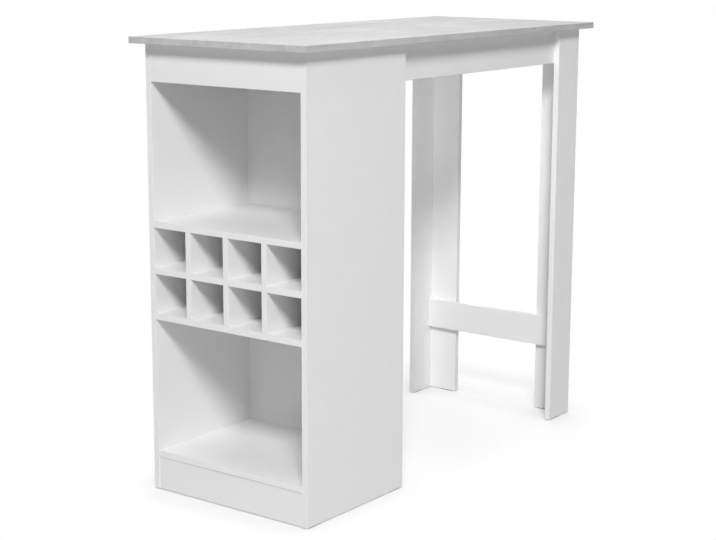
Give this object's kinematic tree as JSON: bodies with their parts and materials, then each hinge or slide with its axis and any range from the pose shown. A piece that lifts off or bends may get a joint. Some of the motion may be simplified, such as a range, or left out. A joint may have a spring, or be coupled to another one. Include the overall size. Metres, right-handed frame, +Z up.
{
  "type": "bar table",
  "caption": "White bar table with a grey concrete-look top, an open end cabinet with a bottle rack, and angled board legs tied by a low stretcher.",
  "frame": {"origin": "on the floor under the middle of the tabletop", "axes": "+X along the top from the cabinet to the legs, +Z up, the cabinet opens towards -X"},
  "size_m": [1.2, 0.5, 1.05],
  "materials": {
    "concrete_laminate": "chipboard faced with light grey concrete-effect melamine, matt, edges banded to match",
    "white_melamine": "chipboard faced with white melamine, satin, edges banded in white",
    "beech": "bare beech, fluted",
    "zinc_casting": "die-cast zinc, dull",
    "plated_steel": "zinc-plated steel, bright",
    "white_plastic": "moulded white plastic",
    "grey_plastic": "moulded grey plastic"
  },
  "bodies": {
    "root": {"tabletop": "concrete_laminate", "cabinet_side_left": "white_melamine", "cabinet_side_right": "white_melamine", "cabinet_back_panel": "white_melamine", "cabinet_plinth": "white_melamine", "cabinet_fascia": "white_melamine", "cabinet_bottom_panel": "white_melamine", "rack_bottom_shelf": "white_melamine", "rack_middle_shelf": "white_melamine", "rack_top_shelf": "white_melamine", "rack_divider_1": "white_melamine", "rack_divider_2": "white_melamine", "rack_divider_3": "white_melamine", "leg_face_left": "white_melamine", "leg_face_right": "white_melamine", "leg_return_left": "white_melamine", "leg_return_right": "white_melamine", "apron_left": "white_melamine", "apron_right": "white_melamine", "apron_end": "white_melamine", "leg_stretcher": "white_melamine", "wood_dowels": "beech", "cam_discs": "zinc_casting", "cam_bolts": "plated_steel", "panel_screws": "plated_steel", "screw_caps": "white_plastic", "corner_blocks": "white_plastic", "floor_glides": "grey_plastic"}
  },
  "joints": []
}
